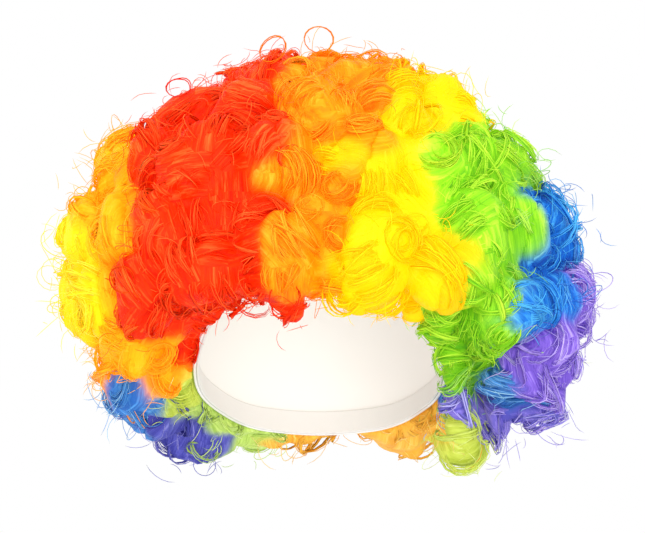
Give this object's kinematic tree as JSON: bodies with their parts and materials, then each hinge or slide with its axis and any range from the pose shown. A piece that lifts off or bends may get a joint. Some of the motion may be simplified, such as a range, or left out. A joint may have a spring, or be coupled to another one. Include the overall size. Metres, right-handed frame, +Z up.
{
  "type": "clown wig",
  "caption": "Full curly party wig in fields of rainbow colour on a stretch cap, open at the face and under, worn by pulling it down over the head.",
  "frame": {"origin": "inside of the cap at the crown, where the wig sits on the head", "axes": "+Z up, the face looks along -Y, +X is to the right of someone facing the wearer"},
  "size_m": [0.3448, 0.3203, 0.2627],
  "materials": {
    "cap_net": "knitted stretch net, matt",
    "elastic": "ribbed elastic band, matt",
    "fibre_lemon": "curled synthetic fibre, soft sheen",
    "fibre_orange": "curled synthetic fibre, soft sheen",
    "fibre_red": "curled synthetic fibre, soft sheen",
    "fibre_yellow": "curled synthetic fibre, soft sheen",
    "fibre_green": "curled synthetic fibre, soft sheen",
    "fibre_blue": "curled synthetic fibre, soft sheen",
    "fibre_violet": "curled synthetic fibre, soft sheen",
    "fibre_indigo": "curled synthetic fibre, soft sheen",
    "fibre_pale_green": "curled synthetic fibre, soft sheen",
    "fibre_amber": "curled synthetic fibre, soft sheen"
  },
  "bodies": {
    "root": {"cap": "cap_net", "edge_band": "elastic", "curls_yellow_right": "fibre_lemon", "curls_orange_right": "fibre_orange", "curls_red": "fibre_red", "curls_orange": "fibre_orange", "curls_yellow": "fibre_yellow", "curls_green": "fibre_green", "curls_blue": "fibre_blue", "curls_violet": "fibre_violet", "nape_blue": "fibre_blue", "nape_violet": "fibre_indigo", "nape_green": "fibre_pale_green", "nape_orange": "fibre_amber", "nape_yellow": "fibre_pale_green", "nape_violet_left": "fibre_violet"}
  },
  "joints": []
}
